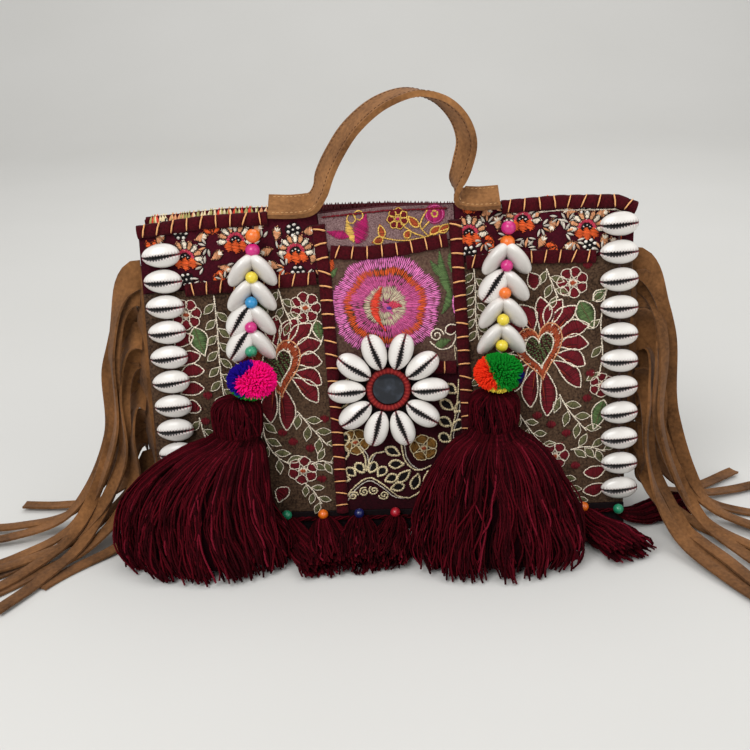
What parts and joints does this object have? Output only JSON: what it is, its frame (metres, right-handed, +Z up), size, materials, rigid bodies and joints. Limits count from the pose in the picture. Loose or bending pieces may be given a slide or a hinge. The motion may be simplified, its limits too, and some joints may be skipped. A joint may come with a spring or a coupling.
{
  "type": "banjara bag",
  "caption": "Soft patchwork handbag with a suede handle, suede side fringes, cowrie shells, a mirror flower, bead charms and long yarn tassels.",
  "frame": {"origin": "middle of the base, on the floor", "axes": "+Z up, +X along the bag's width to the viewer's right, -Y out of the decorated front"},
  "size_m": [0.6037, 0.2048, 0.3083],
  "materials": {
    "patchwork_maroon": "woven cotton with embroidery",
    "gusset_brown": "embroidered cotton",
    "hem_black": "plain cotton",
    "print_band": "block print and stitches",
    "brown_field": "embroidered cotton",
    "mauve_patch": "woven cotton",
    "rose_patch": "satin stitch embroidery",
    "dark_patch": "gold cord embroidery",
    "welt_maroon": "corded welt with overcast stitches",
    "mirror_glass": "polished",
    "red_yarn": "buttonhole stitched yarn",
    "cowrie": "glossy natural shell",
    "charm_string": "shells and painted wooden beads",
    "pompom_pink": "cut yarn",
    "pompom_green": "cut yarn",
    "maroon_yarn": "loose twisted yarn",
    "suede_tan": "suede",
    "ring_metal": "worn plating"
  },
  "bodies": {
    "bag": {"front_panel": "patchwork_maroon", "back_panel": "patchwork_maroon", "gusset": "gusset_brown", "hem_band": "hem_black", "flower_pad": "hem_black", "left_band_patch": "print_band", "right_band_patch": "print_band", "left_field_patch": "brown_field", "right_field_patch": "brown_field", "centre_top_patch": "mauve_patch", "rose_patch": "rose_patch", "centre_low_patch": "dark_patch", "welt_left_upright": "welt_maroon", "welt_right_upright": "welt_maroon", "welt_left_band": "welt_maroon", "welt_right_band": "welt_maroon", "welt_centre_top": "welt_maroon", "welt_centre_low": "welt_maroon", "binding_left": "welt_maroon", "binding_right": "welt_maroon", "mirror": "mirror_glass", "mirror_ring": "red_yarn", "cowrie_column_left": "cowrie", "cowrie_column_right": "cowrie", "flower_cowrie_1": "cowrie", "flower_cowrie_2": "cowrie", "flower_cowrie_3": "cowrie", "flower_cowrie_4": "cowrie", "flower_cowrie_5": "cowrie", "flower_cowrie_6": "cowrie", "flower_cowrie_7": "cowrie", "flower_cowrie_8": "cowrie", "flower_cowrie_9": "cowrie", "flower_cowrie_10": "cowrie", "charm_left": "charm_string", "charm_right": "charm_string", "pompom_left": "pompom_pink", "pompom_right": "pompom_green", "tassel_left": "maroon_yarn", "tassel_right": "maroon_yarn", "hem_fringe": "maroon_yarn", "handle": "suede_tan", "side_fringe_left": "suede_tan", "side_fringe_right": "suede_tan", "ring_loop_left": "suede_tan", "ring_loop_right": "suede_tan"},
    "ring_left": {"d_ring_left": "ring_metal"},
    "ring_right": {"d_ring_right": "ring_metal"}
  },
  "joints": [
    {"name": "ring_left_swing", "type": "hinge", "parent": "bag", "child": "ring_left", "pos_m": [-0.17827, 0.007, 0.17], "axis": [0, 1, 0], "range_deg": [0, 110]},
    {"name": "ring_right_swing", "type": "hinge", "parent": "bag", "child": "ring_right", "pos_m": [0.17827, 0.0064, 0.17], "axis": [0, -1, 0], "range_deg": [0, 110]}
  ]
}
